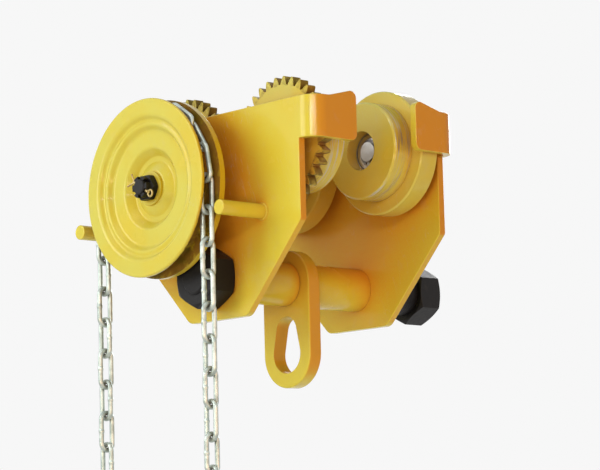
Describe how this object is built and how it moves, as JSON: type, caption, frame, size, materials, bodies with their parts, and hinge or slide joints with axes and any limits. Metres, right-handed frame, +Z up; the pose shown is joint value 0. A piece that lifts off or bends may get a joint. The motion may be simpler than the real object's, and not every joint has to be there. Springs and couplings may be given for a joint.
{
  "type": "geared beam trolley",
  "caption": "Hand-geared beam trolley: bent side plates with flanged track wheels, dished chain wheel with endless hand chain, chain guide pins, suspension shaft and hanging load eye.",
  "frame": {"origin": "on the beam's centre line, on the plane that the wheel treads roll on, midway between the axles", "axes": "+X along the beam, +Y across it from the geared side to the idle side, +Z up"},
  "size_m": [0.2988, 0.3634, 0.5108],
  "materials": {
    "yellow_paint": "gloss enamel",
    "black_oxide": "satin black",
    "zinc_plate": "bright zinc plate",
    "machined_steel": "turned, oiled",
    "bronze": "plain bearing bronze"
  },
  "bodies": {
    "frame": {"front_side_plate": "yellow_paint", "rear_side_plate": "yellow_paint", "suspension_shaft": "black_oxide", "front_shaft_nut": "black_oxide", "rear_shaft_nut": "black_oxide", "front_spacer_tube": "yellow_paint", "rear_spacer_tube": "yellow_paint", "spare_spacer_rings": "black_oxide", "drive_housing": "yellow_paint", "drive_housing_bolts": "black_oxide", "drive_bush": "bronze", "intermediate_axle": "machined_steel", "intermediate_circlip": "machined_steel", "right_guide_pin": "yellow_paint", "left_guide_pin": "yellow_paint", "guide_strap": "yellow_paint", "guide_strap_bolts": "black_oxide", "front_left_axle": "machined_steel", "front_left_inner_races": "machined_steel", "front_left_bearing_balls": "machined_steel", "front_left_axle_circlip": "machined_steel", "front_right_axle": "machined_steel", "front_right_inner_races": "machined_steel", "front_right_bearing_balls": "machined_steel", "front_right_axle_circlip": "machined_steel", "rear_left_axle": "machined_steel", "rear_left_inner_races": "machined_steel", "rear_left_bearing_balls": "machined_steel", "rear_left_axle_circlip": "machined_steel", "rear_right_axle": "machined_steel", "rear_right_inner_races": "machined_steel", "rear_right_bearing_balls": "machined_steel", "rear_right_axle_circlip": "machined_steel"},
    "left_drive_wheel": {"left_drive_wheel": "yellow_paint", "front_left_outer_races": "machined_steel"},
    "right_drive_wheel": {"right_drive_wheel": "yellow_paint", "front_right_outer_races": "machined_steel"},
    "left_idle_wheel": {"left_idle_wheel": "yellow_paint", "rear_left_outer_races": "machined_steel"},
    "right_idle_wheel": {"right_idle_wheel": "yellow_paint", "rear_right_outer_races": "machined_steel"},
    "intermediate_gears": {"intermediate_pinion": "machined_steel", "intermediate_gear": "machined_steel", "intermediate_bush": "bronze"},
    "chain_wheel": {"chain_wheel": "yellow_paint", "drive_shaft": "black_oxide", "drive_pinion": "machined_steel", "chain_wheel_key": "machined_steel", "drive_pinion_key": "machined_steel", "drive_pinion_circlip": "machined_steel", "thrust_washer": "bronze", "hub_washer": "yellow_paint", "castle_nut": "black_oxide", "cotter_pin": "zinc_plate"},
    "load_eye": {"load_eye": "yellow_paint"},
    "hand_chain": {"hand_chain": "zinc_plate"}
  },
  "joints": [
    {"name": "chain_wheel_spin", "type": "hinge", "parent": "frame", "child": "chain_wheel", "pos_m": [-0.03491, -0.151, 0.00901], "axis": [0, 1, 0], "continuous": true},
    {"name": "intermediate_spin", "type": "hinge", "parent": "frame", "child": "intermediate_gears", "pos_m": [0, -0.075, 0.01157], "axis": [0, 1, 0], "continuous": true},
    {"name": "left_drive_wheel_spin", "type": "hinge", "parent": "frame", "child": "left_drive_wheel", "pos_m": [-0.073, -0.06, 0.05], "axis": [0, 1, 0], "continuous": true},
    {"name": "right_drive_wheel_spin", "type": "hinge", "parent": "frame", "child": "right_drive_wheel", "pos_m": [0.073, -0.06, 0.05], "axis": [0, 1, 0], "continuous": true},
    {"name": "left_idle_wheel_spin", "type": "hinge", "parent": "frame", "child": "left_idle_wheel", "pos_m": [-0.073, 0.06, 0.05], "axis": [0, 1, 0], "continuous": true},
    {"name": "right_idle_wheel_spin", "type": "hinge", "parent": "frame", "child": "right_idle_wheel", "pos_m": [0.073, 0.06, 0.05], "axis": [0, 1, 0], "continuous": true},
    {"name": "load_eye_swing", "type": "hinge", "parent": "frame", "child": "load_eye", "pos_m": [0, 0, -0.0823], "axis": [0, 1, 0], "range_deg": [-75, 75]},
    {"name": "hand_chain_swing", "type": "hinge", "parent": "frame", "child": "hand_chain", "pos_m": [-0.03491, -0.151, 0.00901], "axis": [0, 1, 0], "range_deg": [-8, 8]}
  ],
  "couplings": [
    {"joint": "intermediate_spin", "follows": "chain_wheel_spin", "ratio": -0.75},
    {"joint": "left_drive_wheel_spin", "follows": "chain_wheel_spin", "ratio": 0.28125},
    {"joint": "right_drive_wheel_spin", "follows": "chain_wheel_spin", "ratio": 0.28125}
  ]
}
